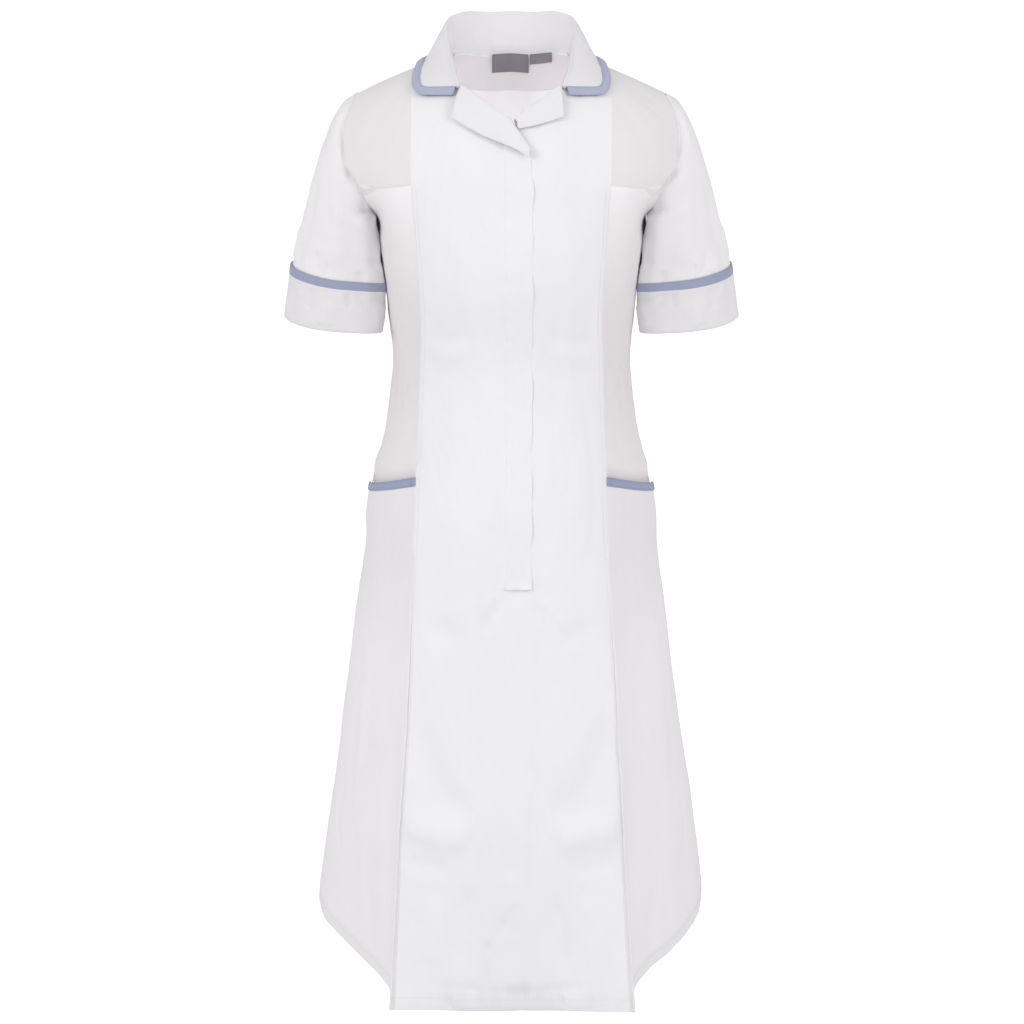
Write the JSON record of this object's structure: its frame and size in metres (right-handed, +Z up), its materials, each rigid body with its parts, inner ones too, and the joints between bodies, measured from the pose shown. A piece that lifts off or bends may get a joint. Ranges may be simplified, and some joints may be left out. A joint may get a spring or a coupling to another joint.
{
  "type": "nurse uniform dress",
  "caption": "Short-sleeved, princess-seamed uniform dress with a reverse collar, a concealed front fly, turned-back cuffs, hip pockets and contrast trim",
  "frame": {"origin": "the wearer's nape, in the middle of the neck opening, 1.10 m above the hem", "axes": "+Z up, -Y the dress's front, +X the wearer's left"},
  "size_m": [0.53, 0.426, 1.1468],
  "materials": {
    "white_cloth": "matt fine twill",
    "blue_trim": "matt fine twill",
    "grey_label": "matt woven tape"
  },
  "bodies": {
    "root": {"back_centre": "white_cloth", "back_side_left": "white_cloth", "back_side_right": "white_cloth", "collar": "white_cloth", "collar_trim": "blue_trim", "cuff_left": "white_cloth", "cuff_right": "white_cloth", "fly_flap": "white_cloth", "front_left": "white_cloth", "front_right": "white_cloth", "main_label": "grey_label", "neck_facing": "white_cloth", "pocket_trim_left": "blue_trim", "pocket_trim_right": "blue_trim", "rever_left": "white_cloth", "rever_right": "white_cloth", "shoulder_left": "white_cloth", "shoulder_right": "white_cloth", "side_front_left": "white_cloth", "side_front_right": "white_cloth", "side_skirt_left": "white_cloth", "side_skirt_right": "white_cloth", "size_label": "grey_label", "sleeve_left": "white_cloth", "sleeve_right": "white_cloth", "sleeve_trim_left": "blue_trim", "sleeve_trim_right": "blue_trim"}
  },
  "joints": []
}
